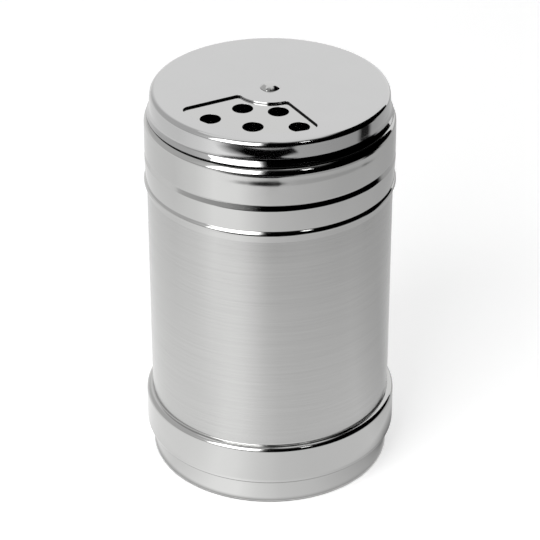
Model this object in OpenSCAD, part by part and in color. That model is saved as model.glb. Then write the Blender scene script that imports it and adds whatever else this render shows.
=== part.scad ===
// Stainless steel spice shaker with a turning selector cap.
// The origin is at the centre of the foot, on the table, and +Z points up.
// The coarse holes lie towards -Y. All sizes are in millimetres.

/* [Overall size] */
// Height from the table to the flat top of the cap
total_h = 100.5; // [92:0.5:115]
// Outer radius of the straight body wall
body_r = 30; // [28:0.5:32]
// Thickness of the sheet that each pressing is made from
sheet = 0.4; // [0.3:0.05:0.45]

/* [Foot and raised band] */
// Height of the straight foot under the raised band
foot_h = 5.9; // [4:0.1:8]
// How far the foot stands in from the body wall
foot_inset = 0.1; // [0:0.05:0.5]
// Radius of the foot's lower corner
foot_round = 0.7; // [0.5:0.1:1.8]
// How high the base panel is pressed up, clear of the table
base_rise = 1.4; // [1.1:0.1:2]
// How far the raised band stands out from the body wall
band_out = 1.5; // [1:0.1:1.5]
// Height of the band's upper edge, where its shoulder starts
band_top = 16.55; // [13:0.05:20]

/* [Neck under the lid] */
// How far the neck is drawn in from the body wall
neck_in = 0.3; // [0.3:0.02:0.4]
// Depth of the hem that is folded in at the rim
rim_hem = 2.5; // [1.5:0.1:4]

/* [Lid] */
// Height of the lid's skirt, from its lower edge to its flat shoulder
lid_h = 17.55; // [15:0.05:22]
// Clearance between the body wall and the lid's skirt
lid_gap = 0.2; // [0.15:0.01:0.25]
// How far the rolled bead at the lid's lower edge stands out
bead_out = 0.3; // [0.2:0.02:0.4]
// Height of the straight part of that bead
bead_h = 1.15; // [0.8:0.05:2]
// Height of the groove above the lid's lower edge
groove_up = 6.8; // [4:0.1:8]
// Depth of the rolled groove
groove_depth = 0.4; // [0.3:0.05:0.4]
// How much the skirt narrows towards its top
lid_taper = 0.25; // [0:0.05:0.3]
// Radius of the lid's upper shoulder
lid_round = 1.8; // [1.4:0.1:1.8]

/* [Perforated turret under the cap] */
// Clearance between the turret and the inside of the cap
turret_gap = 0.5; // [0.4:0.05:0.6]
// Clearance between the perforated plate and the cap's underside
plate_gap = 0.08; // [0.06:0.01:0.2]
// Diameter of the five coarse holes
coarse_d = 5; // [4:0.05:5.2]
// Distance from the axis to the two outer coarse holes at the ends
coarse_outer_r = 21.15; // [19:0.05:21.3]
// Distance from the axis to the outer coarse hole in the middle
coarse_middle_r = 20.4; // [19:0.1:21.3]
// Distance from the axis to the two inner coarse holes
coarse_inner_r = 12.3; // [11.6:0.1:13]
// Diameter of the fine holes
fine_d = 1.8; // [1.2:0.1:2.2]

/* [Turning cap] */
// Height of the cap, from its flared lip to its flat top
cap_h = 6.15; // [5.9:0.05:7]
// How far the cap's wall stands in from the body wall
cap_inset = 1; // [0.9:0.02:1.2]
// Radius of the cap's upper edge
cap_round = 1.3; // [0.8:0.1:1.8]
// Angle that the cap's wall leans in by at its upper edge, in degrees
cap_lean = 5; // [1:0.5:5]
// Radius of the flare at the cap's lower edge
flare_round = 2.9; // [1.6:0.1:3]
// Turn of the flare away from the upright wall, in degrees
flare_turn = 43; // [38:1:52]
// Angle that the cap is turned from the coarse holes, in degrees
cap_turned = -5; // [-6:0.5:6]

/* [Window in the cap] */
// Angle that the window spans, in degrees
window_span = 91; // [80:1:91]
// Radius of the window's inner edge
window_inner_r = 8.3; // [7.5:0.1:9.3]
// Radius of the window's outer edge
window_outer_r = 24.1; // [23.5:0.1:25]
// Radius of the window's inner corners
window_inner_corner = 0.95; // [0.5:0.05:1.5]
// Radius of the window's outer corners
window_outer_corner = 2; // [0.5:0.1:3]

/* [Pivot] */
// Radius of the rivet's shank
rivet_r = 1.5; // [1.2:0.05:1.8]
// Radius of the rivet's head
rivet_head_r = 2.4; // [2.2:0.1:3]
// Height of the head
rivet_head_h = 0.9; // [0.8:0.05:1]
// Clearance between the shank and the cap that turns on it
running_gap = 0.08; // [0.04:0.01:0.1]

/* [Hidden] */
$fn = 128;
arc_steps = 8;            // chords along each bend of a pressing
touch = 0.02;             // gap between pieces that rest on each other

// Radii of the container
foot_r = body_r - foot_inset;
band_r = body_r + band_out;
neck_r = body_r - neck_in;
ring_in = 2.9;            // from the foot's outer face to the ring that it stands on
ring_r = foot_r - ring_in;
foot_hollow = 0.4;        // bend between the foot and the band
band_round = 2.1;         // lower bend of the band
shoulder_round = 1.3;     // upper bend of the band
shoulder_hollow = 0.3;    // bend between the band and the body wall
neck_bend = 0.6;          // both bends of the step to the neck

// Heights and radii of the lid
lip_gap = 0.1;            // between the flat of the lid's shoulder and the cap's lip
lip_z = total_h - cap_h;
lid_top_z = lip_z - lip_gap;
lid_z = lid_top_z - lid_h;
lid_r = body_r + lid_gap + sheet;
bead_r = lid_r + bead_out;
bead_round = 0.8;
bead_hollow = 0.2;
groove_round = 0.5;       // bends at the groove's edges
groove_hollow = 0.3;      // bends at the groove's floor
groove_floor = 0.2;       // straight part of the groove's floor
lid_top_r = lid_r - lid_taper;
lid_overlap = 1;          // how far the lid reaches down past the top of the body wall
neck_z = lid_z + lid_overlap;

// The rim stops just short of the inside of the lid's shoulder, also where it bends
rim_gap = 0.1;
rim_reach = lid_round - 2 * sheet - rim_gap;
rim_into_bend = max(0, neck_r - sheet - (lid_top_r - lid_round));
rim_drop = rim_into_bend > 0 ? rim_reach - sqrt(pow(rim_reach, 2) - pow(rim_into_bend, 2)) : 0;
rim_z = lid_top_z - sheet - rim_gap - rim_drop;

// The cap, and the turret that it turns on
cap_r = body_r - cap_inset;
cap_under_z = total_h - sheet;
flare_z = lip_z + (flare_round + sheet) * sin(flare_turn);
upright_h = 0.6;          // straight part of the wall, above the flare
wall_z = flare_z + upright_h;
wall_bend = cap_round + (total_h - cap_round - wall_z) / sin(cap_lean);   // slow bend above it
edge_r = cap_r - cap_round - (wall_bend - cap_round) * (1 - cos(cap_lean));
plate_z = cap_under_z - plate_gap;
turret_r = cap_r - sheet - turret_gap;
turret_round = 1.1;
turret_hollow = 0.3;

// Holes: the cap's four settings are a quarter turn apart
coarse_angle = -89.2;
fine_angle = 0;
pour_angle = 90;
coarse_outer_step = 29.9;
coarse_inner_step = 40.8;
fine_rows = [[11.5, 3], [15, 4], [18.5, 5], [22, 6]];   // row's radius, number of holes
fine_spacing = 4.8;       // distance between neighbours in a row
pour_inner_r = 10.5;
pour_outer_r = 23;
pour_span = 78;
pour_corner = 1.8;

// Stack under the plate, from the top down
rivet_fit = 0.04;         // clearance round the shank in the lid and the washers
lid_hole_r = rivet_r + rivet_fit;
cap_hole_r = rivet_r + running_gap;
spring_r = 4.2;
spring_t = 0.3;
spring_dish = 0.4;
spring_z = plate_z - sheet - touch;
washer_r = 3.4;
washer_t = 0.4;
washer_z = spring_z - spring_dish - spring_t - touch;
tail_r = 2.3;
tail_h = 0.8;
tail_chamfer = 0.5;
tail_z = washer_z - washer_t - touch;

// Points along an arc round a centre, from one angle to another
function arc(centre, radius, from, to) =
    [for (i = [0:arc_steps])
        let (a = from + (to - from) * i / arc_steps)
        centre + radius * [cos(a), sin(a)]];

// A smooth step between two upright walls turns by this angle and is this high
function step_turn(run, bends) = acos(1 - run / bends);
function step_rise(run, bends) = bends * sin(step_turn(run, bends));

// A step out to a wider wall, going up, at depth t below the outer face of the sheet
function step_out(r0, r1, z, hollow, round, t) =
    let (turn = step_turn(r1 - r0, hollow + round))
    let (top = z + step_rise(r1 - r0, hollow + round))
    concat(arc([r0 + hollow, z], hollow + t, 180, 180 - turn),
           arc([r1 - round, top], round - t, -turn, 0));

// A step in to a narrower wall, going up
function step_in(r0, r1, z, round, hollow, t) =
    let (turn = step_turn(r0 - r1, hollow + round))
    let (top = z + step_rise(r0 - r1, hollow + round))
    concat(arc([r0 - round, z], round - t, 0, turn),
           arc([r1 + hollow, top], hollow + t, 180 + turn, 180));

function backwards(points) = [for (i = [len(points) - 1:-1:0]) points[i]];

// One face of the container's sheet, from the middle of the base up to the neck
function container_face(t) = concat(
    [[0, base_rise + t]],
    arc([ring_r - base_rise, base_rise / 2], base_rise / 2 + t, 90, 0),
    arc([ring_r, base_rise / 2], base_rise / 2 - t, 180, 270),
    arc([foot_r - foot_round, foot_round], foot_round - t, 270, 360),
    step_out(foot_r, band_r, foot_h, foot_hollow, band_round, t),
    step_in(band_r, body_r, band_top, shoulder_round, shoulder_hollow, t),
    step_in(body_r, neck_r, neck_z, neck_bend, neck_bend, t));

// The rim is folded in, so that no cut edge is left
rim_fold = concat(
    arc([neck_r - sheet, rim_z - sheet], sheet, 0, 180),
    [[neck_r - 2 * sheet, rim_z - rim_hem], [neck_r - sheet, rim_z - rim_hem]]);

module container() color("#c9c9c7")
    rotate_extrude()
        polygon(concat(container_face(0), rim_fold, backwards(container_face(sheet))));

// One face of the lid's sheet, from above the bead to the rivet hole
function lid_face(t) = concat(
    step_in(lid_r, lid_r - groove_depth, lid_z + groove_up, groove_round, groove_hollow, t),
    step_out(lid_r - groove_depth, lid_r, lid_z + groove_up + groove_floor
             + step_rise(groove_depth, groove_round + groove_hollow),
             groove_hollow, groove_round, t),
    arc([lid_top_r - lid_round, lid_top_z - lid_round], lid_round - t, 0, 90),
    arc([turret_r + turret_hollow, lid_top_z + turret_hollow], turret_hollow + t, 270, 180),
    arc([turret_r - turret_round, plate_z - turret_round], turret_round - t, 0, 90),
    [[lid_hole_r, plate_z - t]]);

// The rolled bead at the lid's lower edge, from its inner to its outer side
bead_half = (bead_r - lid_r + sheet) / 2;
lid_bead = concat(
    arc([bead_r - bead_half, lid_z + bead_half], bead_half, 180, 360),
    step_in(bead_r, lid_r, lid_z + bead_h, bead_round, bead_hollow, 0));

// A sector of a ring with rounded corners, which the window and the pour opening share
function sector(inner_r, outer_r, span, inner_corner, outer_corner) =
    let (half = span / 2)
    let (inner_mid = inner_r + inner_corner)
    let (outer_mid = outer_r - outer_corner)
    let (inner_a = half - asin(inner_corner / inner_mid))
    let (outer_a = half - asin(outer_corner / outer_mid))
    let (side = concat(
        arc([0, 0], outer_r, 0, outer_a),
        arc(outer_mid * [cos(outer_a), sin(outer_a)], outer_corner, outer_a, half + 90),
        arc(inner_mid * [cos(inner_a), sin(inner_a)], inner_corner, half + 90, inner_a + 180),
        arc([0, 0], inner_r, inner_a, 0)))
    concat(side, backwards([for (p = side) [p[0], -p[1]]]));

module coarse_holes() {
    for (step = [-1:1])
        rotate(coarse_angle + step * coarse_outer_step)
            translate([step == 0 ? coarse_middle_r : coarse_outer_r, 0])
                cylinder(h = total_h, d = coarse_d, $fn = 48);
    for (step = [-0.5, 0.5])
        rotate(coarse_angle + step * coarse_inner_step)
            translate([coarse_inner_r, 0])
                cylinder(h = total_h, d = coarse_d, $fn = 48);
}

module fine_holes()
    for (row = fine_rows) {
        pitch = fine_spacing / row[0] * 180 / PI;
        for (i = [0:row[1] - 1])
            rotate(fine_angle + (i - (row[1] - 1) / 2) * pitch)
                translate([row[0], 0])
                    cylinder(h = total_h, d = fine_d, $fn = 24);
    }

module pour_opening()
    rotate(pour_angle)
        linear_extrude(total_h)
            polygon(sector(pour_inner_r, pour_outer_r, pour_span, pour_corner, pour_corner));

module lid_shell() color("#d4d4d4")
    difference() {
        rotate_extrude()
            polygon(concat(lid_bead, lid_face(0), backwards(lid_face(sheet))));
        translate([0, 0, lid_top_z]) {
            coarse_holes();
            fine_holes();
            pour_opening();
        }
    }

// One face of the cap's sheet, from the flared lip to the rivet hole
function cap_face(t) = concat(
    arc([cap_r + flare_round, flare_z], flare_round + t, 180 + flare_turn, 180),
    arc([cap_r - wall_bend, wall_z], wall_bend - t, 0, cap_lean),
    arc([edge_r, total_h - cap_round], cap_round - t, cap_lean, 90),
    [[cap_hole_r, total_h - t]]);

// The cut edge of the lip is rounded over
cap_lip = let (a = 180 + flare_turn)
    arc([cap_r + flare_round, flare_z] + (flare_round + sheet / 2) * [cos(a), sin(a)],
        sheet / 2, a, a + 180);

module rotating_cap() color("#cfcfcf")
    difference() {
        rotate_extrude()
            polygon(concat(cap_lip, cap_face(0), backwards(cap_face(sheet))));
        translate([0, 0, lip_z])
            rotate(coarse_angle + cap_turned)
                linear_extrude(total_h)
                    polygon(sector(window_inner_r, window_outer_r, window_span,
                                   window_inner_corner, window_outer_corner));
    }

// The rivet's head has a nearly flat crown and a sloping, rounded rim, and rides just above the cap
head_gap = 0.05;
head_z = total_h + head_gap;
crown_r = 0.56 * rivet_head_r;
crown_turn = 5;           // slope of the crown at its edge, in degrees
rim_start = 28;           // slope of the rim where it leaves the crown, in degrees
crown_arc = crown_r / sin(crown_turn);
crown_h = crown_arc * (1 - cos(crown_turn));
rim_turn = 2 * atan((rivet_head_h - crown_h) / (rivet_head_r - crown_r)) - rim_start;
rim_arc = (rivet_head_r - crown_r) / (sin(rim_turn) - sin(rim_start));

module pivot_rivet() color("#c4c4c4")
    rotate_extrude()
        polygon(concat(
            [[0, tail_z - tail_h], [tail_r - tail_chamfer, tail_z - tail_h],
             [tail_r, tail_z - tail_h + tail_chamfer], [tail_r, tail_z], [rivet_r, tail_z],
             [rivet_r, head_z], [rivet_head_r, head_z]],
            arc([rivet_head_r - rim_arc * sin(rim_turn), head_z - rim_arc * cos(rim_turn)],
                rim_arc, 90 - rim_turn, 90 - rim_start),
            arc([0, head_z + rivet_head_h - crown_arc], crown_arc, 90 - crown_turn, 90)));

// A dished spring washer keeps a light drag on the cap
module spring_washer() color("#8f9296")
    rotate_extrude()
        polygon([[lid_hole_r, spring_z - spring_dish], [spring_r, spring_z],
                 [spring_r, spring_z - spring_t], [lid_hole_r, spring_z - spring_dish - spring_t]]);

// A flat washer spreads the load of the rivet's tail
module backing_washer() color("#a9abad")
    translate([0, 0, washer_z - washer_t])
        difference() {
            cylinder(h = washer_t, r = washer_r);
            translate([0, 0, -1])
                cylinder(h = washer_t + 2, r = lid_hole_r);
        }

container();
lid_shell();
rotating_cap();
pivot_rivet();
spring_washer();
backing_washer();
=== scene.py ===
import math

import bmesh
import bpy
from bpy.props import FloatProperty, FloatVectorProperty, IntProperty, PointerProperty
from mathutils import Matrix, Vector


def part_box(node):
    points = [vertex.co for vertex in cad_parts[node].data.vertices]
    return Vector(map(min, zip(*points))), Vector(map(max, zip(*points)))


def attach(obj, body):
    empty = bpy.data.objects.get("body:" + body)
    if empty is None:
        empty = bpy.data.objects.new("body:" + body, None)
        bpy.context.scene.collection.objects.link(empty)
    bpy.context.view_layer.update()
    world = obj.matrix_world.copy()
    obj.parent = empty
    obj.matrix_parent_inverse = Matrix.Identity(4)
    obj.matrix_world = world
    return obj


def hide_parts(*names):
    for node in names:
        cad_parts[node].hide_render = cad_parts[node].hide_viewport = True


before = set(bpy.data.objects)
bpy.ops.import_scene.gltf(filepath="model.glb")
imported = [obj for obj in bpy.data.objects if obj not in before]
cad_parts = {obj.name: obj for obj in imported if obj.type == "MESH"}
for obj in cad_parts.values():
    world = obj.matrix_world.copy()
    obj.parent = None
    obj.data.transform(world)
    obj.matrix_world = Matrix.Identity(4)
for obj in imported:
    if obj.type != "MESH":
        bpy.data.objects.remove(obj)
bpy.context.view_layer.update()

bl_info = {
    "name": "Steel spice shaker",
    "version": (1, 0, 0),
    "blender": (4, 5, 0),
    "location": "View3D > Sidebar > Shaker",
    "description": "Builds a stainless steel spice shaker with a turning selector cap, and its studio",
    "category": "Add Mesh",
}

MM = 0.001                # one millimetre in metres
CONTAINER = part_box("container")
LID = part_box("lid_shell")
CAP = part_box("rotating_cap")
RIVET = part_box("pivot_rivet")
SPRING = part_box("spring_washer")
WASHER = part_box("backing_washer")


# Sizes and colours ---------------------------------------------------------------------------

def hex_linear(code):
    """The linear red, green, blue and alpha of an sRGB colour written as #rrggbb."""
    parts = [int(code[i:i + 2], 16) / 255 for i in (1, 3, 5)]
    linear = [c / 12.92 if c <= 0.04045 else ((c + 0.055) / 1.055) ** 2.4 for c in parts]
    return (*linear, 1.0)


def length(name, description, default):
    """A length that a user can change, in metres."""
    return FloatProperty(name=name, description=description, default=default, unit="LENGTH")


def angle(name, description, degrees):
    """An angle that a user can change, given in degrees."""
    return FloatProperty(name=name, description=description, default=math.radians(degrees), unit="ROTATION")


def colour(name, description, code):
    """A colour that a user can change."""
    return FloatVectorProperty(name=name, description=description, default=hex_linear(code), size=4,
                               subtype="COLOR", min=0.0, max=1.0)


class ShakerSizes(bpy.types.PropertyGroup):
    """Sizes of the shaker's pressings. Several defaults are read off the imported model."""
    sheet: length("Sheet", "Thickness of the stainless sheet", 0.4 * MM)
    body_r: length("Body radius", "Outer radius of the straight body wall", CONTAINER[1].x - 1.5 * MM)
    band_r: length("Band radius", "Outer radius of the raised band", CONTAINER[1].x)
    band_top: length("Band top", "Height at which the band's upper shoulder starts", 16.1 * MM)
    foot_h: length("Foot height", "Height of the straight foot under the band", 5.9 * MM)
    foot_round: length("Foot corner", "Radius of the foot's lower corner", 0.7 * MM)
    base_rise: length("Base rise", "How far the base panel is pressed up", 1.4 * MM)
    rim_z: length("Rim height", "Height of the container's folded rim", CONTAINER[1].z)
    bead_r: length("Bead radius", "Outer radius of the packed model's bead at the lid's lower edge", LID[1].x)
    groove_up: length("Groove height", "Height of the rolled groove above the lid's lower edge", 6.8 * MM)
    groove_depth: length("Groove depth", "Depth of the rolled groove, inside", 0.4 * MM)
    lid_h: length("Lid height", "Height of the lid's skirt, up to its flat shoulder", 17.55 * MM)
    lid_round: length("Lid shoulder", "Radius of the lid's upper shoulder", 1.9 * MM)
    coarse_r: length("Coarse hole", "Radius of the five coarse holes", 2.5 * MM)
    fine_r: length("Fine hole", "Radius of the fine holes", 0.9 * MM)
    cap_r: length("Cap radius", "Outer radius of the cap's wall", 29 * MM)
    cap_h: length("Cap height", "Height of the cap, from its flared lip to its flat top", 6.15 * MM)
    cap_lean: angle("Cap lean", "Angle that the cap's wall leans in by at its upper edge", 5)
    cap_round: length("Cap edge", "Radius of the cap's upper edge", 1.3 * MM)
    flare_round: length("Flare", "Radius of the flare at the cap's lower edge", 2.7 * MM)
    flare_turn: angle("Flare turn", "Turn of the flare away from the upright wall", 34.5)
    window_inner: length("Window inner", "Radius of the window's inner edge", 8.3 * MM)
    window_outer: length("Window outer", "Radius of the window's outer edge", 24.1 * MM)
    inner_corner: length("Inner corners", "Radius of the window's inner corners", 0.95 * MM)
    outer_corner: length("Outer corners", "Radius of the window's outer corners", 2 * MM)
    window_span: angle("Window span", "Angle that the window spans", 91)
    cap_turned: angle("Cap turned", "Angle that the cap stands turned from the coarse holes", -5)
    head_h: length("Rivet head", "Height of the rivet's head", 0.9 * MM)
    steps: IntProperty(name="Steps", description="Faces round each turned piece", default=288)


class ShakerColours(bpy.types.PropertyGroup):
    """Colours of the shaker's finishes and of the studio."""
    polished: colour("Polished steel", "Mirror-polished stainless steel of the lid and band", "#c5c5c4")
    top: colour("Cap steel", "Polished stainless steel of the cap", "#c5c5c5")
    brushed: colour("Brushed steel", "Brushed stainless steel of the body wall", "#bfbfbe")
    inside: colour("Inside", "Drawn stainless steel inside the container", "#a9a8a6")
    # Painted shade: near black for the cap's inside, its lip's end and its cut edges, so that the gap under
    # the lip and the window's edges read dark.
    shade_painted_underside: colour("Underside", "Dull stainless steel of the cap's inside and cut edge", "#1c1c1c")
    spring: colour("Spring steel", "Tempered spring steel of the dished washer", "#8b8f94")
    floor: colour("Floor", "Matt white sweep that the shaker stands on", "#e6e6e6")


# Profiles: points (radius, height) along the sheet's faces -------------------------------------

BEND_STEPS = 10
NEAREST = 1e-7            # points nearer to one another than this are one point, in metres


def bend(centre, radius, start, end, steps=BEND_STEPS):
    """Points along an arc round a centre, from one angle to another, in degrees."""
    turns = [math.radians(start + (end - start) * i / steps) for i in range(steps + 1)]
    return [(centre[0] + radius * math.cos(a), centre[1] + radius * math.sin(a)) for a in turns]


def step_turn(run, bends):
    """The angle, in degrees, that a smooth step between two upright walls turns by."""
    return math.degrees(math.acos(1 - run / bends))


def step_rise(run, bends):
    """The height of such a step."""
    return bends * math.sin(math.radians(step_turn(run, bends)))


def step_out(r0, r1, z, hollow, rounding, depth):
    """A step out to a wider wall, going up, at a depth below the outer face of the sheet."""
    turn = step_turn(r1 - r0, hollow + rounding)
    top = z + step_rise(r1 - r0, hollow + rounding)
    return (bend((r0 + hollow, z), hollow + depth, 180, 180 - turn)
            + bend((r1 - rounding, top), rounding - depth, -turn, 0))


def step_in(r0, r1, z, rounding, hollow, depth):
    """A step in to a narrower wall, going up."""
    turn = step_turn(r0 - r1, hollow + rounding)
    top = z + step_rise(r0 - r1, hollow + rounding)
    return (bend((r0 - rounding, z), rounding - depth, 0, turn)
            + bend((r1 + hollow, top), hollow + depth, 180 + turn, 180))


def flank(start, hollow, rounding, run, degrees):
    """A straight flank that leans in by an angle, with a bend at each end, from a point going up."""
    turn = math.radians(degrees)
    r, z = start
    straight = run - (hollow + rounding) * (1 - math.cos(turn))
    top = z + rounding * math.sin(turn) + straight / math.tan(turn)
    return (bend((r - rounding, z), rounding, 0, degrees)
            + bend((r - run + hollow, top + hollow * math.sin(turn)), hollow, 180 + degrees, 180))


def sector(inner, outer, span, inner_corner, outer_corner):
    """Points (x, y) round a sector of a ring with rounded corners, centred on +X."""
    half = math.degrees(span) / 2
    inner_mid, outer_mid = inner + inner_corner, outer - outer_corner
    inner_a = half - math.degrees(math.asin(inner_corner / inner_mid))
    outer_a = half - math.degrees(math.asin(outer_corner / outer_mid))

    def on_circle(radius, degrees):
        return radius * math.cos(math.radians(degrees)), radius * math.sin(math.radians(degrees))

    side = (bend((0, 0), outer, 0, outer_a, 3 * BEND_STEPS)
            + bend(on_circle(outer_mid, outer_a), outer_corner, outer_a, half + 90)
            + bend(on_circle(inner_mid, inner_a), inner_corner, half + 90, inner_a + 180)
            + bend((0, 0), inner, inner_a, 0, 2 * BEND_STEPS))
    return tidy_loop(side + [(x, -y) for x, y in reversed(side)])


def circle(centre, radius, steps=48):
    """Points (x, y) round a circle."""
    return bend(centre, radius, 0, 360, steps)[:-1]


def tidy_loop(points):
    """A closed outline without the points that repeat the one before them."""
    return [p for i, p in enumerate(points) if math.dist(p, points[i - 1]) > NEAREST]


def turned(points, degrees):
    """An outline turned about the origin."""
    c, s = math.cos(math.radians(degrees)), math.sin(math.radians(degrees))
    return [(c * x - s * y, s * x + c * y) for x, y in points]


def grown(points, by):
    """A closed outline, run anticlockwise, with each point moved outwards by a distance."""
    moved = []
    for i, p in enumerate(points):
        before, after = points[i - 1], points[(i + 1) % len(points)]
        along = Vector((after[0] - before[0], after[1] - before[1])).normalized()
        moved.append((p[0] + by * along.y, p[1] - by * along.x))
    return moved


# Meshes ----------------------------------------------------------------------------------------

def ring(bm, radius, z, steps):
    """One ring of vertices round the axis, or a single vertex on it."""
    if radius < NEAREST:
        return [bm.verts.new((0, 0, z))]
    turns = [2 * math.pi * i / steps for i in range(steps)]
    return [bm.verts.new((radius * math.cos(a), radius * math.sin(a), z)) for a in turns]


def span_rings(bm, lower, upper, material=0):
    """Faces between two rings, or between a ring and a vertex on the axis."""
    count = max(len(lower), len(upper))
    for i in range(count):
        j = (i + 1) % count
        if len(lower) == 1:
            corners = [lower[0], upper[j], upper[i]]
        elif len(upper) == 1:
            corners = [lower[i], lower[j], upper[0]]
        else:
            corners = [lower[i], lower[j], upper[j], upper[i]]
        bm.faces.new(corners).material_index = material


def turn_profile(bm, points, steps, material_at=None, closed=False):
    """Turns a profile round the axis, and returns its first and last ring."""
    kept = [p for i, p in enumerate(points) if i == 0 or math.dist(p, points[i - 1]) > NEAREST]
    rings = [ring(bm, r, z, steps) for r, z in kept]
    pairs = list(zip(range(len(kept) - 1), range(1, len(kept))))
    if closed:
        pairs.append((len(kept) - 1, 0))
    for a, b in pairs:
        middle = ((kept[a][0] + kept[b][0]) / 2, (kept[a][1] + kept[b][1]) / 2)
        span_rings(bm, rings[a], rings[b], material_at(a, middle) if material_at else 0)
    return rings[0], rings[-1]


def loop_edges(bm, verts):
    """The edges of a closed loop of vertices."""
    found = []
    for i, v in enumerate(verts):
        pair = (verts[i - 1], v)
        found.append(bm.edges.get(pair) or bm.edges.new(pair))
    return found


PUNCH_EDGE = 0.035 * MM   # the rolled edge that a punch leaves
PUNCH_TURNS = (0, math.pi / 6, math.pi / 3, math.pi / 2)
CREASE = 40               # edges that turn by more than this many degrees are sharp


def punch(bm, outline, top, bottom, cut=0):
    """The wall of a punched hole with rolled edges, and the material of its cut face. Returns its loops
    in the two flat faces."""
    levels = [(PUNCH_EDGE * (1 - math.sin(a)), top - PUNCH_EDGE * (1 - math.cos(a))) for a in PUNCH_TURNS]
    levels += [(out, bottom + top - z) for out, z in reversed(levels)]
    loops = [[bm.verts.new((x, y, z)) for x, y in grown(outline, out)] for out, z in levels]
    for i, (upper, lower) in enumerate(zip(loops, loops[1:])):
        span_rings(bm, upper, lower, cut if i >= len(PUNCH_TURNS) - 1 else 0)
    return loops[0], loops[-1]


def fill_flat(bm, loops):
    """Fills the flat area between an outer loop and the loops of its holes."""
    edges = [e for verts in loops for e in loop_edges(bm, verts)]
    bmesh.ops.triangle_fill(bm, use_beauty=True, edges=edges)


def make_piece(name, bm, materials, body, node):
    """Turns a bmesh into a piece that rides on a body and stands for a node of the model."""
    bmesh.ops.remove_doubles(bm, verts=bm.verts, dist=1e-8)
    bmesh.ops.recalc_face_normals(bm, faces=bm.faces)
    mesh = bpy.data.meshes.new(name)
    bm.to_mesh(mesh)
    bm.free()
    for material in materials:
        mesh.materials.append(material)
    mesh.shade_smooth()
    mesh.set_sharp_from_angle(angle=math.radians(CREASE))
    piece = bpy.data.objects.new(name, mesh)
    bpy.context.scene.collection.objects.link(piece)
    weighted = piece.modifiers.new("flat_faces_lead", "WEIGHTED_NORMAL")
    weighted.keep_sharp = True
    weighted.weight = 90
    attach(piece, body)
    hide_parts(node)
    return piece


# Materials -------------------------------------------------------------------------------------

MIDDLE_NOISE = {"From Min": 0.3, "From Max": 0.7}    # the range that most of a noise's values lie in


def add_node(tree, kind, inputs=None, **settings):
    """Adds a node with its settings, its input values and its links."""
    added = tree.nodes.new(kind)
    for key, value in settings.items():
        setattr(added, key, value)
    for key, value in (inputs or {}).items():
        if isinstance(value, bpy.types.NodeSocket):
            tree.links.new(value, added.inputs[key])
        else:
            added.inputs[key].default_value = value
    return added


def per_mm(size):
    """The texture scale at which one cell is this many millimetres wide."""
    return 1 / (size * MM)


def new_material(name):
    """An empty node material, its tree, and the object's own coordinates."""
    material = bpy.data.materials.new(name)
    material.use_nodes = True
    tree = material.node_tree
    tree.nodes.clear()
    place = add_node(tree, "ShaderNodeTexCoord").outputs["Object"]
    return material, tree, place


def mirror_polished_stainless_steel(name, tone, gloss=0.05):
    """Sheet steel buffed to a mirror. It reflects the studio sharply, with the slow waves that
    drawing leaves in the sheet, faint wipe marks, and hairline scratches that only soften it."""
    material, tree, place = new_material(name)
    waves = add_node(tree, "ShaderNodeTexNoise", {"Vector": place, "Scale": per_mm(14), "Detail": 1.0})
    hair_place = add_node(tree, "ShaderNodeMapping", {"Vector": place, "Scale": (0.05, 0.05, 1.0)})
    hair = add_node(tree, "ShaderNodeTexNoise", {
        "Vector": hair_place.outputs["Vector"], "Scale": per_mm(0.25), "Detail": 3.0})
    wipes = add_node(tree, "ShaderNodeTexNoise", {
        "Vector": place, "Scale": per_mm(9), "Detail": 5.0, "Roughness": 0.6})
    roughness = add_node(tree, "ShaderNodeMapRange", {
        "Value": wipes.outputs["Fac"], "From Min": 0.35, "From Max": 0.75,
        "To Min": gloss, "To Max": gloss + 0.05})
    shade = add_node(tree, "ShaderNodeMix", {
        "Factor": wipes.outputs["Fac"], "A": tone, "B": [c * 0.96 for c in tone[:3]] + [1.0]},
        data_type="RGBA")
    slow = add_node(tree, "ShaderNodeBump", {
        "Height": waves.outputs["Fac"], "Strength": 1.0, "Distance": 0.02 * MM})
    fine = add_node(tree, "ShaderNodeBump", {
        "Height": hair.outputs["Fac"], "Strength": 0.25, "Distance": 0.002 * MM,
        "Normal": slow.outputs["Normal"]})
    steel = add_node(tree, "ShaderNodeBsdfPrincipled", {
        "Base Color": shade.outputs["Result"], "Metallic": 1.0,
        "Roughness": roughness.outputs["Result"], "Normal": fine.outputs["Normal"]})
    add_node(tree, "ShaderNodeOutputMaterial", {"Surface": steel.outputs["BSDF"]})
    return material


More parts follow.
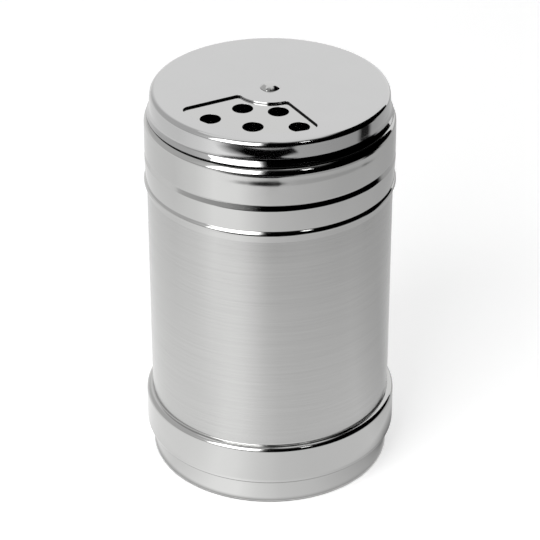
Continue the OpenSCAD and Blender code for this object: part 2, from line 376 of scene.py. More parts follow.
def brushed_stainless_steel(name, tone):
    """Steel brushed round and round on a belt. The fine lines run level round the wall, so what it
    reflects is drawn out upright into soft bright and dark columns, with a grain of level lines."""
    material, tree, place = new_material(name)
    line_place = add_node(tree, "ShaderNodeMapping", {"Vector": place, "Scale": (0.012, 0.012, 1.0)})
    lines = add_node(tree, "ShaderNodeTexNoise", {
        "Vector": line_place.outputs["Vector"], "Scale": per_mm(0.3), "Detail": 4.0, "Roughness": 0.7})
    streaks = add_node(tree, "ShaderNodeTexNoise", {
        "Vector": line_place.outputs["Vector"], "Scale": per_mm(1.6), "Detail": 2.0})
    tint = add_node(tree, "ShaderNodeMapRange", {
        "Value": lines.outputs["Fac"], **MIDDLE_NOISE, "To Min": 0.96, "To Max": 1.03})
    shade = add_node(tree, "ShaderNodeMix", {
        "Factor": 1.0, "A": tone, "B": tint.outputs["Result"]}, data_type="RGBA", blend_type="MULTIPLY")
    roughness = add_node(tree, "ShaderNodeMapRange", {
        "Value": streaks.outputs["Fac"], **MIDDLE_NOISE, "To Min": 0.15, "To Max": 0.19})
    grain = add_node(tree, "ShaderNodeBump", {
        "Height": lines.outputs["Fac"], "Strength": 0.5, "Distance": 0.002 * MM})
    round_axis = add_node(tree, "ShaderNodeTangent", direction_type="RADIAL", axis="Z")
    steel = add_node(tree, "ShaderNodeBsdfPrincipled", {
        "Base Color": shade.outputs["Result"], "Metallic": 1.0,
        "Anisotropic": 0.9, "Anisotropic Rotation": 0.25,
        "Roughness": roughness.outputs["Result"], "Normal": grain.outputs["Normal"],
        "Tangent": round_axis.outputs["Tangent"]})
    add_node(tree, "ShaderNodeOutputMaterial", {"Surface": steel.outputs["BSDF"]})
    return material


def drawn_stainless_steel(name, tone):
    """Steel as it leaves the drawing press, never polished: grey and soft, with faint upright
    draw lines, as it is inside the container."""
    material, tree, place = new_material(name)
    draw_place = add_node(tree, "ShaderNodeMapping", {"Vector": place, "Scale": (1.0, 1.0, 0.02)})
    lines = add_node(tree, "ShaderNodeTexNoise", {
        "Vector": draw_place.outputs["Vector"], "Scale": per_mm(0.8), "Detail": 3.0})
    roughness = add_node(tree, "ShaderNodeMapRange", {
        "Value": lines.outputs["Fac"], **MIDDLE_NOISE, "To Min": 0.36, "To Max": 0.48})
    grain = add_node(tree, "ShaderNodeBump", {
        "Height": lines.outputs["Fac"], "Strength": 0.3, "Distance": 0.01 * MM})
    steel = add_node(tree, "ShaderNodeBsdfPrincipled", {
        "Base Color": tone, "Metallic": 1.0,
        "Roughness": roughness.outputs["Result"], "Normal": grain.outputs["Normal"]})
    add_node(tree, "ShaderNodeOutputMaterial", {"Surface": steel.outputs["BSDF"]})
    return material


def matt_white_paper(name, tone, lift):
    """A matt white paper sweep: no gloss, the faintest tooth, and the shaker's soft shadow. What it
    adds of its own makes it white to the camera and in reflections."""
    material, tree, place = new_material(name)
    tooth = add_node(tree, "ShaderNodeTexNoise", {"Vector": place, "Scale": per_mm(1.5), "Detail": 2.0})
    grain = add_node(tree, "ShaderNodeBump", {
        "Height": tooth.outputs["Fac"], "Strength": 0.05, "Distance": 0.02 * MM})
    paper = add_node(tree, "ShaderNodeBsdfDiffuse", {"Color": tone, "Normal": grain.outputs["Normal"]})
    path = add_node(tree, "ShaderNodeLightPath")
    seen = add_node(tree, "ShaderNodeMath", {
        0: path.outputs["Is Camera Ray"], 1: path.outputs["Is Glossy Ray"]}, operation="MAXIMUM")
    seen = add_node(tree, "ShaderNodeMath", {
        0: seen.outputs[0], 1: path.outputs["Is Transmission Ray"]}, operation="MAXIMUM")
    added = add_node(tree, "ShaderNodeMath", {0: seen.outputs[0], 1: lift}, operation="MULTIPLY")
    glow = add_node(tree, "ShaderNodeEmission", {"Strength": added.outputs[0]})
    both = add_node(tree, "ShaderNodeAddShader", {0: paper.outputs["BSDF"], 1: glow.outputs["Emission"]})
    add_node(tree, "ShaderNodeOutputMaterial", {"Surface": both.outputs["Shader"]})
    return material


# The container ---------------------------------------------------------------------------------

FOOT_INSET = 0.1 * MM                # the foot stands this far inside the wall
RING_WIDTH = 2.9 * MM                # from the foot's outside to the middle of the bend inside its ring
UNDER_BAND = (0.4 * MM, 2.1 * MM)    # hollow and rounding of the step under the band
OVER_BAND = (1.3 * MM, 0.3 * MM)     # rounding and hollow of the shoulder over it
NECK_IN = 0.3 * MM                   # how far the neck is drawn in
NECK_UP = 1 * MM                     # where it starts, above the lid's lower edge
NECK_BEND = 0.6 * MM
RIM_HEM = 2.5 * MM                   # height of the folded rim
BRUSHED = (CONTAINER[0].z + 18 * MM, LID[0].z - 1.9 * MM)   # heights between which the wall is brushed
BRUSHED_SLOT, POLISHED_SLOT, INSIDE_SLOT = 0, 1, 2


def settings():
    """The sizes and the colours that the pieces are built from."""
    return bpy.context.scene.shaker_sizes, bpy.context.scene.shaker_colours


def container_face(s, depth):
    """One face of the container's sheet, from the middle of the base up to the neck."""
    foot_r = s.body_r - FOOT_INSET
    ring_r = foot_r - RING_WIDTH
    half_rise = s.base_rise / 2
    neck_z = LID[0].z + NECK_UP
    return ([(0, s.base_rise + depth)]
            + bend((ring_r - s.base_rise, half_rise), half_rise + depth, 90, 0)
            + bend((ring_r, half_rise), half_rise - depth, 180, 270)
            + bend((foot_r - s.foot_round, s.foot_round), s.foot_round - depth, 270, 360)
            + step_out(foot_r, s.band_r, s.foot_h, *UNDER_BAND, depth)
            + step_in(s.band_r, s.body_r, s.band_top, *OVER_BAND, depth)
            + [(s.body_r - depth, BRUSHED[0]), (s.body_r - depth, BRUSHED[1])]
            + step_in(s.body_r, s.body_r - NECK_IN, neck_z, NECK_BEND, NECK_BEND, depth))


class SHAKER_OT_container(bpy.types.Operator):
    """Build the drawn container with its foot, raised band, brushed wall and folded rim"""
    bl_idname = "shaker.container"
    bl_label = "Container"

    def execute(self, context):
        s, c = settings()
        neck_r = s.body_r - NECK_IN
        outer = container_face(s, 0)
        fold = (bend((neck_r - s.sheet, s.rim_z - s.sheet), s.sheet, 0, 180)
                + [(neck_r - 2 * s.sheet, s.rim_z - RIM_HEM), (neck_r - s.sheet, s.rim_z - RIM_HEM)])
        inner = list(reversed(container_face(s, s.sheet)))
        neck_z = outer[-1][1]

        def finish_at(index, middle):
            r, z = middle
            if r > s.body_r - 0.5 * s.sheet:
                return BRUSHED_SLOT if BRUSHED[0] < z < BRUSHED[1] else POLISHED_SLOT
            below = z < s.base_rise + 0.5 * s.sheet and index < len(outer)
            return POLISHED_SLOT if below or z > neck_z else INSIDE_SLOT

        bm = bmesh.new()
        turn_profile(bm, outer + fold + inner, s.steps, finish_at)
        make_piece("container_cup", bm, [
            brushed_stainless_steel("brushed_stainless_steel", c.brushed),
            mirror_polished_stainless_steel("polished_stainless_steel_band", c.polished, 0.07),
            drawn_stainless_steel("drawn_stainless_steel", c.inside)],
            "container", "container")
        return {"FINISHED"}


# The lid ---------------------------------------------------------------------------------------

BEAD_OUT = 0.3 * MM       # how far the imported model's bead stands out from the skirt
EDGE_IN = 0.18 * MM       # how far the lid's edge stays inside that bead
EDGE_DOWN = 0.22 * MM     # how far it reaches below it
EDGE_FLANK = (0.3 * MM, 1.4 * MM, 0.46 * MM, 43)     # hollow, rounding, run and degrees of its flare
GROOVE_IN = 0.24 * MM     # from the edge's outside in to the wall under the groove
GROOVE_DOWN = 0.25 * MM   # how far below its height the groove starts
GROOVE_FLANK = (0.5 * MM, 0.8 * MM, 0.35 * MM, 16)   # hollow, rounding, run and degrees of its lower side
GROOVE_TOP = (0.2 * MM, 0.3 * MM)                    # hollow and rounding of its upper side
GROOVE_INSIDE = (0.5 * MM, 0.3 * MM)                 # rounding and hollow of each side, inside
GROOVE_FLOOR = 0.2 * MM   # height of its floor, inside
LEAN = 0.3                # how far the skirt leans in, in degrees
LEAN_STEP = 0.3 * MM      # height between the points of its wall
LEAN_END = 0.4 * MM       # how far below the shoulder's bend the wall ends
TAPER = (0.23 * MM, 0.25 * MM)    # how far the skirt is drawn in at its top, outside and inside
WALL_START = 0.07 * MM    # how far out of its place at the top the wall over the groove starts
DRAW_MARK = (1.5, 13.7 * MM, 0.6 * MM)    # added lean in degrees, height on the lid, and half width
TURRET_GAP = 0.5 * MM     # between the cap's wall and the turret under it
TURRET_FOOT = 0.3 * MM    # radius of the bend at the turret's foot
TURRET_ROUND = 1.1 * MM   # radius of its upper edge
PLATE_Z = LID[1].z
LID_HOLE_R = 1.54 * MM
COARSE_ANGLE, FINE_ANGLE, POUR_ANGLE = -89.2, 0, 90
COARSE_HOLES = ((21.15, -29.9), (20.4, 0), (21.15, 29.9), (12.3, -20.4), (12.3, 20.4))   # mm and degrees
FINE_ROWS = ((11.5, 3), (15, 4), (18.5, 5), (22, 6))    # radius in mm, number of holes
FINE_PITCH = 4.8          # mm from hole to hole along a row
FINE_STEPS = 24           # edges round a fine hole
POUR_SIZES = (10.5 * MM, 23 * MM, math.radians(78), 1.8 * MM, 1.8 * MM)   # as sector takes them


def lid_edge(s):
    """The outer radius of the lid's lower edge, the radius of its half-round bead, and that one's height."""
    edge_r = s.bead_r - EDGE_IN
    half = (edge_r - (s.bead_r - BEAD_OUT) + s.sheet) / 2
    return edge_r, half, LID[0].z - EDGE_DOWN + half


def skirt_face(s, top_r):
    """The outer face of the lid's skirt: flared edge, groove, and a wall with a faint draw mark."""
    edge_r, _, edge_z = lid_edge(s)
    edge = flank((edge_r, edge_z), *EDGE_FLANK)
    groove = flank((edge_r - GROOVE_IN, LID[0].z + s.groove_up - GROOVE_DOWN), *GROOVE_FLANK)
    floor_r, floor_z = groove[-1]
    out = step_out(floor_r, top_r + WALL_START, floor_z, *GROOVE_TOP, 0)
    wall = [out[-1]]
    mark_lean, mark_up, mark_half = DRAW_MARK
    while wall[-1][1] < LID[0].z + s.lid_h - s.lid_round - LEAN_END:
        r, z = wall[-1]
        lean = LEAN + mark_lean * math.exp(-((z - LID[0].z - mark_up) / mark_half) ** 2)
        wall.append((r - LEAN_STEP * math.tan(math.radians(lean)), z + LEAN_STEP))
    return edge + groove + out + wall[1:]


def skirt_inside(s, depth):
    """The inner face of the lid's skirt, up to its shoulder."""
    skirt_r = s.bead_r - BEAD_OUT
    floor_r = skirt_r - s.groove_depth
    groove_z = LID[0].z + s.groove_up
    floor_z = groove_z + GROOVE_FLOOR + step_rise(s.groove_depth, sum(GROOVE_INSIDE))
    return (step_in(skirt_r, floor_r, groove_z, *GROOVE_INSIDE, depth)
            + step_out(floor_r, skirt_r, floor_z, *reversed(GROOVE_INSIDE), depth))


def lid_face(s, depth):
    """One face of the lid's sheet, from above the bead to the flat of the perforated plate."""
    shoulder_z = LID[0].z + s.lid_h
    top_r = s.bead_r - BEAD_OUT - TAPER[1 if depth else 0]
    if depth:
        wall = skirt_inside(s, depth)
        start_r, lean = top_r, 0
    else:
        wall = skirt_face(s, top_r)
        start_r, lean = wall[-1][0], LEAN
    turret_r = s.cap_r - s.sheet - TURRET_GAP
    return (wall
            + bend((start_r - s.lid_round, shoulder_z - s.lid_round), s.lid_round - depth, lean, 90)
            + bend((turret_r + TURRET_FOOT, shoulder_z + TURRET_FOOT), TURRET_FOOT + depth, 270, 180)
            + bend((turret_r - TURRET_ROUND, PLATE_Z - TURRET_ROUND), TURRET_ROUND - depth, 0, 90))


def plate_outlines(s):
    """The outlines of the openings in the lid's plate: rivet hole, coarse and fine holes, pour opening."""
    outlines = [circle((0, 0), LID_HOLE_R)]
    outlines += [turned(circle((radius * MM, 0), s.coarse_r), COARSE_ANGLE + step)
                 for radius, step in COARSE_HOLES]
    for radius, count in FINE_ROWS:
        pitch = math.degrees(FINE_PITCH / radius)
        hole = circle((radius * MM, 0), s.fine_r, FINE_STEPS)
        outlines += [turned(hole, FINE_ANGLE + (i - (count - 1) / 2) * pitch) for i in range(count)]
    outlines.append(turned(sector(*POUR_SIZES), POUR_ANGLE))
    return outlines


class SHAKER_OT_lid(bpy.types.Operator):
    """Build the lid: beaded and grooved skirt, shoulder, and the perforated plate on its turret"""
    bl_idname = "shaker.lid"
    bl_label = "Lid"

    def execute(self, context):
        s, c = settings()
        edge_r, half, edge_z = lid_edge(s)
        bead = bend((edge_r - half, edge_z), half, 180, 360)
        bm = bmesh.new()
        under, top = turn_profile(bm, list(reversed(lid_face(s, s.sheet))) + bead + lid_face(s, 0), s.steps)
        punched = [punch(bm, outline, PLATE_Z, PLATE_Z - s.sheet) for outline in plate_outlines(s)]
        fill_flat(bm, [top] + [upper for upper, _ in punched])
        fill_flat(bm, [under] + [lower for _, lower in punched])
        make_piece("lid_pressing", bm, [
            mirror_polished_stainless_steel("mirror_polished_stainless_steel", c.polished)],
            "lid", "lid_shell")
        return {"FINISHED"}


# The cap ---------------------------------------------------------------------------------------

LIP_STRAIGHT = 0.45 * MM  # straight part of the cap's lip, below its flare
FLARE_UP = 0.4 * MM       # how far above the flare's middle the wall's own bend starts
WALL_LEAN = 0.9           # how far the wall leans in there, in degrees
CAP_HOLE_R = 1.58 * MM
ARC_REACH = 0.04 * MM     # how far out from the window's inner edge its cut face is polished
# The cap's second slot paints its inside, its lip's end and its cut edges near black: painted shade.
MIRROR_SLOT, PAINTED_SHADE_SLOT = 0, 1


def flare_centre(s):
    """The centre, as (radius, height), that the cap's flare bends round."""
    lip_z = CAP[1].z - s.cap_h
    return (s.cap_r + s.flare_round, lip_z + (s.flare_round + s.sheet) * math.sin(s.flare_turn)
            + LIP_STRAIGHT * math.cos(s.flare_turn))


def cap_face(s, depth):
    """One face of the cap's sheet, from its flare to its flat top. The wall leans in slowly."""
    turn, lean = math.degrees(s.flare_turn), math.degrees(s.cap_lean)
    least = math.radians(WALL_LEAN)
    wall_z = flare_centre(s)[1] + FLARE_UP
    slow = (CAP[1].z - s.cap_round - wall_z) / (math.sin(s.cap_lean) - math.sin(least))
    bend_r = slow + s.cap_round
    edge_r = s.cap_r - s.cap_round - slow * (math.cos(least) - math.cos(s.cap_lean))
    wall_centre = (s.cap_r - bend_r * math.cos(least), wall_z - bend_r * math.sin(least))
    return (bend(flare_centre(s), s.flare_round + depth, 180 + turn, 180 + WALL_LEAN)
            + bend(wall_centre, bend_r - depth, WALL_LEAN, lean)
            + bend((edge_r, CAP[1].z - s.cap_round), s.cap_round - depth, lean, 90))


def cap_lip(s):
    """The half-round end of the cap's lip, below its straight part."""
    turn = 180 + math.degrees(s.flare_turn)
    r, z = bend(flare_centre(s), s.flare_round + s.sheet / 2, turn, turn)[0]
    out, down = math.sin(s.flare_turn) * LIP_STRAIGHT, math.cos(s.flare_turn) * LIP_STRAIGHT
    return bend((r + out, z - down), s.sheet / 2, turn, turn + 180)


class SHAKER_OT_cap(bpy.types.Operator):
    """Build the turning cap with its window and flared lip"""
    bl_idname = "shaker.cap"
    bl_label = "Turning cap"

    def execute(self, context):
        s, c = settings()
        inner = list(reversed(cap_face(s, s.sheet)))
        lip = cap_lip(s)
        # The inside and the end of the lip take the painted shade.
        last_painted_shade = len(inner) + len(lip) - 1

        def finish_at(index, middle):
            return PAINTED_SHADE_SLOT if index < last_painted_shade else MIRROR_SLOT

        bm = bmesh.new()
        under, top = turn_profile(bm, inner + lip + cap_face(s, 0), s.steps, finish_at)
        window = turned(sector(s.window_inner, s.window_outer, s.window_span, s.inner_corner, s.outer_corner),
                        COARSE_ANGLE + math.degrees(s.cap_turned))
        outlines = (window, circle((0, 0), CAP_HOLE_R, 64))
        # The cut faces of the window and the rivet hole take the painted shade, except near the window's
        # inner edge, where they stay polished.
        punched = [punch(bm, outline, CAP[1].z, CAP[1].z - s.sheet, PAINTED_SHADE_SLOT) for outline in outlines]
        for face in bm.faces:
            middle = face.calc_center_median()
            if middle.z > CAP[1].z - s.sheet and middle.xy.length < s.window_inner + ARC_REACH:
                face.material_index = MIRROR_SLOT
        fill_flat(bm, [top] + [upper for upper, _ in punched])
        fill_flat(bm, [under] + [lower for _, lower in punched])
        make_piece("turning_cap", bm, [
            mirror_polished_stainless_steel("polished_stainless_steel_cap", c.top),
            drawn_stainless_steel("painted_shade_cap_inside", c.shade_painted_underside)],
            "cap", "rotating_cap")
        return {"FINISHED"}


# The rivet and the washers ---------------------------------------------------------------------

SHANK_R = 1.5 * MM
TAIL_R = 2.3 * MM         # radius of the rivet's closed tail
TAIL_CORNER = 0.5 * MM
TAIL_H = 0.8 * MM
CROWN_SHARE = 0.56        # the crown's share of the head's radius
CROWN_TURN = 5            # how far the crown turns down at its edge, in degrees
RIM_START = 28            # and how far the rim turns down where it starts
SPRING_SHEET = 0.4 * MM   # thickness of the dished washer
SMALL_STEPS = 96          # faces round the rivet and the washers


def rivet_head(s):
    """The rivet's head from its outer edge to the middle: a steep rounded rim and a flat crown."""
    head_r = RIVET[1].x
    head_z = RIVET[1].z - s.head_h
    crown_r = CROWN_SHARE * head_r
    crown_arc = crown_r / math.sin(math.radians(CROWN_TURN))
    crown_h = crown_arc * (1 - math.cos(math.radians(CROWN_TURN)))
    rim_turn = 2 * math.degrees(math.atan((s.head_h - crown_h) / (head_r - crown_r))) - RIM_START
    rim_arc = (head_r - crown_r) / (math.sin(math.radians(rim_turn)) - math.sin(math.radians(RIM_START)))
    rim_middle = (head_r - rim_arc * math.sin(math.radians(rim_turn)),
                  head_z - rim_arc * math.cos(math.radians(rim_turn)))
    return ([(head_r, head_z)]
            + bend(rim_middle, rim_arc, 90 - rim_turn, 90 - RIM_START)
            + bend((0, RIVET[1].z - crown_arc), crown_arc, 90 - CROWN_TURN, 90))


class SHAKER_OT_rivet(bpy.types.Operator):
    """Build the rivet that the cap turns on"""
    bl_idname = "shaker.rivet"
    bl_label = "Rivet"

    def execute(self, context):
        s, c = settings()
        tail_z = RIVET[0].z
        head = rivet_head(s)
        tail = [(0, tail_z), (TAIL_R - TAIL_CORNER, tail_z), (TAIL_R, tail_z + TAIL_CORNER),
                (TAIL_R, tail_z + TAIL_H), (SHANK_R, tail_z + TAIL_H), (SHANK_R, head[0][1])]
        bm = bmesh.new()
        turn_profile(bm, tail + head, SMALL_STEPS)
        make_piece("rivet", bm, [
            mirror_polished_stainless_steel("polished_stainless_steel_rivet", c.polished, 0.06)],
            "lid", "pivot_rivet")
        return {"FINISHED"}


class SHAKER_OT_washers(bpy.types.Operator):
    """Build the dished spring washer and the flat washer under the plate"""
    bl_idname = "shaker.washers"
    bl_label = "Washers"

    def execute(self, context):
        _, c = settings()
        bm = bmesh.new()
        turn_profile(bm, [(LID_HOLE_R, SPRING[1].z - SPRING_SHEET), (SPRING[1].x, SPRING[1].z),
                          (SPRING[1].x, SPRING[0].z + SPRING_SHEET), (LID_HOLE_R, SPRING[0].z)],
                     SMALL_STEPS, closed=True)
        make_piece("dished_washer", bm, [drawn_stainless_steel("tempered_spring_steel", c.spring)],
                   "lid", "spring_washer")
        bm = bmesh.new()
        turn_profile(bm, [(LID_HOLE_R, WASHER[1].z), (WASHER[1].x, WASHER[1].z),
                          (WASHER[1].x, WASHER[0].z), (LID_HOLE_R, WASHER[0].z)],
                     SMALL_STEPS, closed=True)
        make_piece("flat_washer", bm, [drawn_stainless_steel("stamped_stainless_steel", c.inside)],
                   "lid", "backing_washer")
        return {"FINISHED"}


# The studio ------------------------------------------------------------------------------------

VIEW_AZIMUTH = math.radians(12)      # the camera stands this far round from the coarse holes
VIEW_PITCH = 30.427                  # and looks down by this many degrees
VIEW_DISTANCE = 581.785 * MM
VIEW_HEIGHT = 49.849 * MM            # height of the point that it looks at
SENSOR = 36
LENS = 2329.35 / 540 * SENSOR        # from the focal length in pixels of a 540-pixel frame
FLOOR_RADIUS = 1.6                   # in metres
FLOOR_LIFT = 0.52                    # what the floor adds of its own, so that it is white
WORLD_SEEN, WORLD_LIGHT = 1.05, 0.45  # the surroundings as they are seen, and as they light the floor
DOME = 0.9                           # distance of the diffusers and flags, in metres
CARD_LIFT = 0.5 * MM                 # how high the floor cards lie
# The contact card is painted shade: it stands in for the contact shadow that the foot's lower corner
# reflects.
CONTACT_LIFT = CARD_LIFT / 10        # and the one that darkens the foot's lower corner
GRAIN = 3                            # degrees between the vertices of a card
BLACK = [(0, 0.0)]
EVEN = [(0, 1.0)]

# Diffusers and flags: name, azimuths, elevations, brightness across, brightness upward, whether it lights
# the floor. Brightness is given as pairs of an angle and a level.
DOME_CARDS = (
    ("softbox", (-56, -3), (12, 58), [(-56, 2.0), (-53, 4.0), (-12, 4.0), (-9, 1.4), (-6, 0.2), (-3, 0)],
     EVEN, True),
    ("small_lamp", (32, 42), (42, 52), [(0, 4.0)], EVEN, True),
    ("left_fade", (-76, -3), (58, 90), EVEN, [(58, 0.3), (72, 0.4), (90, 1.0)], False),
    ("right_flag", (-3, 132), (-2, 50), BLACK, EVEN, False),
    ("right_fade", (-3, 72), (50, 90), [(2, 0.3), (14, 0.4), (30, 1.0)],
     [(50, 0.0), (64, 0.12), (74, 0.8), (80, 1.0)], False),
    ("side_fade", (72, 132), (50, 90), EVEN, [(50, 0.0), (60, 0.0), (68, 0.9), (80, 1.0)], False),
    ("front_flag", (-150, -3), (-2, 12),
     [(-150, 0.9), (-120, 0.7), (-76, 0.55), (-36, 0.45), (-24, 0.3), (-10, 0)], EVEN, False),
    ("left_card", (-170, -56), (12, 60), [(-170, 1.05), (-140, 0.64), (-76, 0.62), (-56, 0.8)], EVEN, False),
)

# Brightness round the floor cards: pairs of an azimuth and a level, for the part that each form reflects. The
# levels paint the floor's light and shade as the forms reflect it, with the shaker's own shadow and the
# studio's dark side painted in as the low levels towards the camera's right.
FOOT_GLOW = [(-180, 1.0), (-83, 1.0), (-60, 0.98), (-48, 1.08), (-31, 1.3), (-18, 1.34), (-6, 1.1), (6, 0.93),
             (24, 0.85), (48, 0.68), (60, 0.58), (72, 0.43), (84, 0.2), (100, 0.3), (140, 0.9), (180, 1.0)]
BAND_GLOW = [(-180, 1.0), (-58, 1.08), (-46, 1.13), (-34, 1.26), (-22, 1.24), (-7, 1.02), (7, 0.88),
             (22, 0.84), (72, 0.86), (94, 0.7), (110, 0.6), (180, 0.9)]
SKIRT_GLOW = [(-180, 0.84), (-90, 0.88), (-66, 1.02), (-48, 1.24), (-26, 1.2), (-8, 0.92), (0, 0.8),
              (24, 0.72), (60, 0.62), (100, 0.6), (140, 0.5), (180, 0.6)]
CAP_GLOW = [(-180, 0.84), (-90, 0.88), (-66, 1.02), (-48, 1.24), (-26, 1.2), (-8, 0.92), (0, 0.8), (24, 0.57),
            (60, 0.49), (84, 0.44), (90, 0.02), (99, 0.02), (105, 0.47), (132, 0.56), (180, 0.6)]
STRIP_GLOW = [(-180, 0.9), (-46, 0.95), (-38, 0.5), (-20, 0.5), (-12, 0.05), (12, 0.05), (24, 0.55),
              (50, 0.7), (70, 0.3), (90, 0.0), (106, 0.0), (112, 0.5), (150, 0.55), (180, 0.8)]
DARK_GLOW = [(-180, 0.9), (-46, 0.95), (-40, 0.0), (106, 0.0), (112, 0.5), (150, 0.55), (180, 0.8)]

# Floor cards: name, rings of a distance in mm and its brightness, height.
FLOOR_CARDS = (
    ("contact_card", [(28.5, [(0, 0.3)]), (30.2, [(0, 0.4)])], CONTACT_LIFT),
    ("foot_card", [(30.2, [(0, 0.5)]), (31.5, FOOT_GLOW), (36, FOOT_GLOW), (41, BAND_GLOW), (60, BAND_GLOW),
                   (170, SKIRT_GLOW), (205, SKIRT_GLOW), (212, CAP_GLOW), (318, CAP_GLOW)], CARD_LIFT),
    ("strip_card", [(318, STRIP_GLOW), (352, STRIP_GLOW)], CARD_LIFT),
    ("farthest_card", [(352, DARK_GLOW), (900, DARK_GLOW)], CARD_LIFT),
)

# The shade over them: sideways place in mm, darkness, and where its near edge starts and ends in mm.
SHADE_ACROSS = ((-250, 0, 190, 240), (-215, 0.3, 180, 240), (-172, 0.85, 170, 240), (-110, 1, 180, 232),
                (-70, 1, 196, 220), (-35, 1, 203, 212), (25, 1, 203, 212), (50, 1, 212, 232),
                (82, 1, 218, 240), (102, 1, 218, 240), (114, 0, 218, 240))
SHADE_FAR = (300, 320)               # where its far edge starts and ends, in mm


def studio_direction(azimuth, elevation):
    """A direction from the shaker. Azimuth 0 is towards the camera, and more is to its right."""
    a, e = math.radians(azimuth) + VIEW_AZIMUTH, math.radians(elevation)
    return Vector((math.sin(a) * math.cos(e), -math.cos(a) * math.cos(e), math.sin(e)))


def spread(first, last):
    """Even steps from one angle to another."""
    count = max(1, round(abs(last - first) / GRAIN))
    return [first + (last - first) * i / count for i in range(count + 1)]


def level_at(levels, place):
    """The brightness at an angle, from a few (angle, brightness) pairs in order."""
    for (a0, l0), (a1, l1) in zip(levels, levels[1:]):
        if a0 <= place <= a1:
            return l0 + (l1 - l0) * (place - a0) / (a1 - a0)
    return levels[0][1] if place < levels[0][0] else levels[-1][1]


def stage_object(name, mesh):
    """An object of the studio."""
    added = bpy.data.objects.new(name, mesh)
    bpy.context.scene.collection.objects.link(added)
    return added


def studio_card(name, rows, lamp=False):
    """A card or diffuser that reflections show and the camera doesn't. Each row holds (point, brightness)
    pairs. A lamp also lights the floor."""
    bm = bmesh.new()
    layer = bm.verts.layers.float.new("level")
    grid = []
    for row in rows:
        grid.append([bm.verts.new(point) for point, _ in row])
        for vert, (_, level) in zip(grid[-1], row):
            vert[layer] = level
    for lower, upper in zip(grid, grid[1:]):
        for i in range(len(lower) - 1):
            bm.faces.new([lower[i], lower[i + 1], upper[i + 1], upper[i]])
    mesh = bpy.data.meshes.new(name)
    bm.to_mesh(mesh)
    bm.free()
    material, tree, _ = new_material(name)
    level = add_node(tree, "ShaderNodeAttribute", attribute_name="level")
    glow = add_node(tree, "ShaderNodeEmission", {"Strength": level.outputs["Fac"]})
    add_node(tree, "ShaderNodeOutputMaterial", {"Surface": glow.outputs["Emission"]})
    mesh.materials.append(material)
    card = stage_object(name, mesh)
    card.visible_camera = False
    card.visible_shadow = False
    card.visible_diffuse = lamp


def dome_card(name, azimuths, elevations, across, upward, lamp):
    """A card that fills a range of directions. Its brightness is what the azimuth gives times what
    the elevation gives."""
    studio_card(name, [[(DOME * studio_direction(a, e), level_at(across, a) * level_at(upward, e))
                        for a in spread(*azimuths)] for e in spread(*elevations)], lamp)


def floor_card(name, rings, lift):
    """A card that lies over the floor, all round."""
    up = Vector((0, 0, lift))
    studio_card(name, [[(distance * MM * studio_direction(a, 0) + up, level_at(levels, a))
                        for a in spread(-180, 180)] for distance, levels in rings])


def shade_card(name):
    """A shade with soft edges that lies over the floor card towards the camera."""
    ahead, aside = studio_direction(0, 0), studio_direction(90, 0)
    rows = [[], [], [], []]
    for x, dark, near_start, near_end in SHADE_ACROSS:
        places = ((near_start, 0), (near_end, dark), (SHADE_FAR[0], dark), (SHADE_FAR[1], 0))
        for row, (y, deep) in zip(rows, places):
            around = level_at(CAP_GLOW, math.degrees(math.atan2(x, y)))
            point = y * MM * ahead + x * MM * aside + Vector((0, 0, 2 * CARD_LIFT))
            row.append((point, around * (1 - deep)))
    studio_card(name, rows)


def lay_floor(tone):
    """A round white floor under the shaker."""
    bm = bmesh.new()
    bmesh.ops.create_circle(bm, cap_ends=True, segments=128, radius=FLOOR_RADIUS)
    mesh = bpy.data.meshes.new("floor")
    bm.to_mesh(mesh)
    bm.free()
    mesh.materials.append(matt_white_paper("matt_white_paper", tone, FLOOR_LIFT))
    stage_object("floor", mesh)


def light_surroundings(scene):
    """Even white surroundings that light the floor less than they are seen."""
    world = scene.world or bpy.data.worlds.new("studio")
    scene.world = world
    world.use_nodes = True
    tree = world.node_tree
    tree.nodes.clear()
    path = add_node(tree, "ShaderNodeLightPath")
    strength = add_node(tree, "ShaderNodeMapRange", {
        "Value": path.outputs["Is Diffuse Ray"], "To Min": WORLD_SEEN, "To Max": WORLD_LIGHT})
    white = add_node(tree, "ShaderNodeBackground", {
        "Color": (1, 1, 1, 1), "Strength": strength.outputs["Result"]})
    add_node(tree, "ShaderNodeOutputWorld", {"Surface": white.outputs["Background"]})


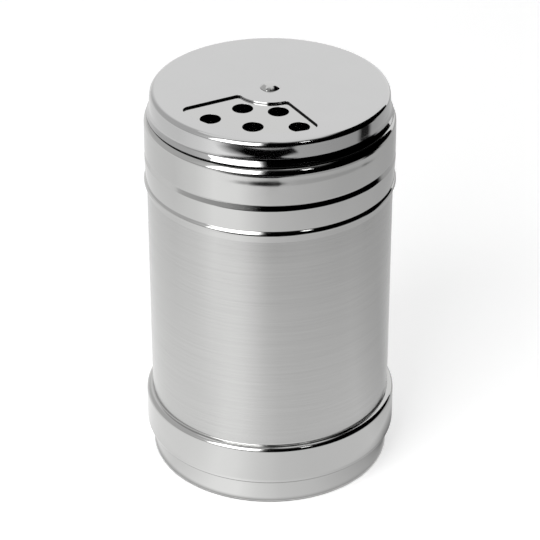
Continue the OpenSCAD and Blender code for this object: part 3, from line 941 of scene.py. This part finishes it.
def place_camera(scene):
    """The camera, looking down at the shaker from the front."""
    data = bpy.data.cameras.new("camera")
    data.lens = LENS
    data.sensor_width = SENSOR
    data.clip_start = 0.01
    data.clip_end = 10
    camera = bpy.data.objects.new("camera", data)
    scene.collection.objects.link(camera)
    back = studio_direction(0, VIEW_PITCH)
    camera.location = Vector((0, 0, VIEW_HEIGHT)) + VIEW_DISTANCE * back
    camera.rotation_mode = "QUATERNION"
    camera.rotation_quaternion = (-back).to_track_quat("-Z", "Y")
    scene.camera = camera


class SHAKER_OT_studio(bpy.types.Operator):
    """Build the floor, the lights and the camera"""
    bl_idname = "shaker.studio"
    bl_label = "Studio"

    def execute(self, context):
        _, c = settings()
        lay_floor(c.floor)
        for card in DOME_CARDS:
            dome_card(*card)
        for card in FLOOR_CARDS:
            floor_card(*card)
        shade_card("camera_shade")
        light_surroundings(context.scene)
        place_camera(context.scene)
        context.scene.view_settings.view_transform = "Standard"
        return {"FINISHED"}


# The add-on ------------------------------------------------------------------------------------

class SHAKER_PT_panel(bpy.types.Panel):
    """The shaker's pieces, sizes and colours"""
    bl_label = "Spice shaker"
    bl_idname = "SHAKER_PT_panel"
    bl_space_type = "VIEW_3D"
    bl_region_type = "UI"
    bl_category = "Shaker"

    def draw(self, context):
        for operator in OPERATORS:
            self.layout.operator(operator.bl_idname)
        for group in (context.scene.shaker_sizes, context.scene.shaker_colours):
            box = self.layout.box()
            for key in group.__annotations__:
                box.prop(group, key)


OPERATORS = (SHAKER_OT_container, SHAKER_OT_lid, SHAKER_OT_cap, SHAKER_OT_rivet, SHAKER_OT_washers,
             SHAKER_OT_studio)
CLASSES = (ShakerSizes, ShakerColours, *OPERATORS, SHAKER_PT_panel)


def register():
    """Registers the classes and the two groups of settings."""
    for cls in CLASSES:
        bpy.utils.register_class(cls)
    bpy.types.Scene.shaker_sizes = PointerProperty(type=ShakerSizes)
    bpy.types.Scene.shaker_colours = PointerProperty(type=ShakerColours)


def unregister():
    """Takes the classes and the two groups of settings away again."""
    del bpy.types.Scene.shaker_colours
    del bpy.types.Scene.shaker_sizes
    for cls in reversed(CLASSES):
        bpy.utils.unregister_class(cls)


def main():
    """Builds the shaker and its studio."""
    register()
    bpy.ops.shaker.container()
    bpy.ops.shaker.lid()
    bpy.ops.shaker.cap()
    bpy.ops.shaker.rivet()
    bpy.ops.shaker.washers()
    bpy.ops.shaker.studio()


if __name__ == "__main__":
    main()
